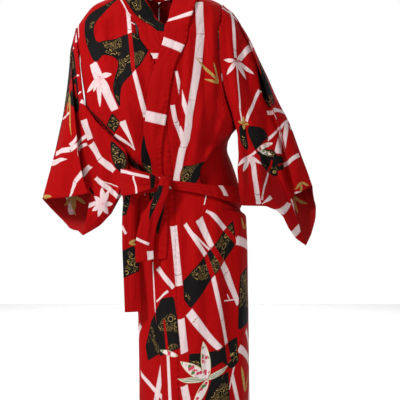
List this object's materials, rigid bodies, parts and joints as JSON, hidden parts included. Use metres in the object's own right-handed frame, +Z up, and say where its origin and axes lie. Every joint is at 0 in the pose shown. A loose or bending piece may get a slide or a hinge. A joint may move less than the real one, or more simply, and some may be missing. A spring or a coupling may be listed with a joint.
{
  "type": "kimono",
  "caption": "Red printed cotton kimono robe, worn form, left front over right, wide hanging sleeves, soft belt of the same cloth tied in a half bow",
  "frame": {"origin": "On the shoulder line beside the neck, in the plane of the side seams: the place where the wearer's neck and shoulders hold the robe", "axes": "+Z up, +X to the wearer's left, -Y to the front; metres"},
  "size_m": [0.6302, 0.3238, 1.4285],
  "materials": {
    "cotton": "plain-weave cotton, matt, printed",
    "collar_cotton": "plain-weave cotton, folded band, matt, printed",
    "belt_cotton": "plain-weave cotton, double band, matt, printed"
  },
  "bodies": {
    "root": {"body_right": "cotton", "body_left": "cotton", "overlap_right": "cotton", "overlap_left": "cotton", "collar": "collar_cotton", "sleeve_right": "cotton", "sleeve_left": "cotton", "belt_band": "belt_cotton", "belt_knot": "belt_cotton", "belt_loop": "belt_cotton", "belt_tail_long": "belt_cotton", "belt_tail_short": "belt_cotton"}
  },
  "joints": []
}
